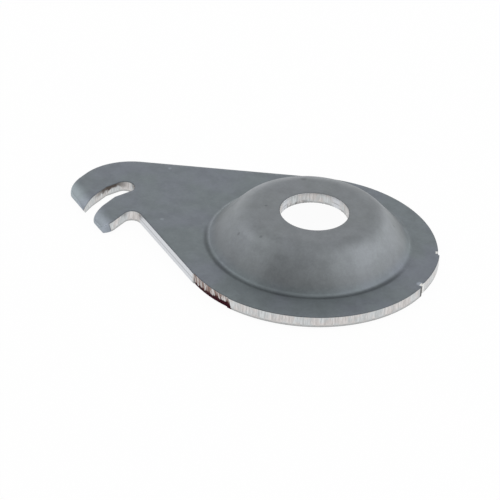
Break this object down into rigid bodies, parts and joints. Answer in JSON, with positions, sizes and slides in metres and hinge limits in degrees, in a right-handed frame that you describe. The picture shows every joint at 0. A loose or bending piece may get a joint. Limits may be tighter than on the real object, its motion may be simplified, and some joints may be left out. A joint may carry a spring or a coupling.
{
  "type": "domed tab washer",
  "caption": "Pressed sheet-steel washer: a round flange with a raised dome and central bore, and a tapered tail that ends in a slotted hook with drooped ends.",
  "frame": {"origin": "on the bore axis, at the crown's top face", "axes": "+Z along the bore axis, away from the flange; the tail points along -X and its slot opens towards -Y"},
  "size_m": [0.0503, 0.034, 0.0065],
  "materials": {
    "steel": "satin pickled and tumbled sheet, bright sheared edges with light rust on one stretch"
  },
  "bodies": {
    "root": {"washer": "steel"}
  },
  "joints": []
}
